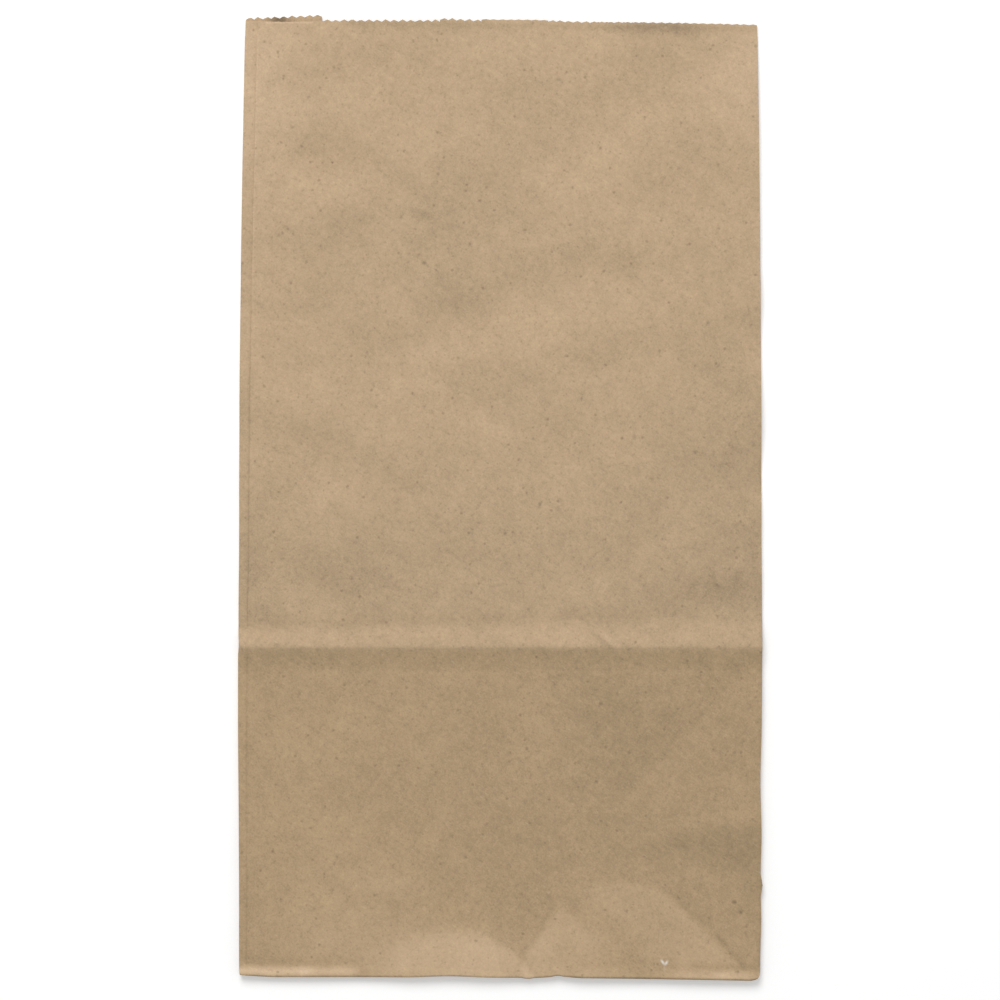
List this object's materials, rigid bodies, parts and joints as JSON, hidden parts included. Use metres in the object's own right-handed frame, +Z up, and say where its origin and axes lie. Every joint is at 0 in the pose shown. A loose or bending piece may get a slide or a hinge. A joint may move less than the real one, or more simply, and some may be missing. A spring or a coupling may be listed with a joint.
{
  "type": "paper lunch bag",
  "caption": "Brown kraft paper lunch bag folded flat: gusseted sides, folded rectangular bottom, long pasted seam and toothed mouth.",
  "frame": {"origin": "middle of the bounding box in width and length, on the surface the bag lies on", "axes": "+X across the width, to the right with the mouth up; +Y along the length, towards the mouth; +Z up, out of the plain front wall, away from the folded bottom"},
  "size_m": [0.1526, 0.2822, 0.0032],
  "materials": {
    "kraft_paper": "matte unbleached brown kraft, with fine fibres and small dark flecks"
  },
  "bodies": {
    "root": {"paper_bag": "kraft_paper"}
  },
  "joints": []
}
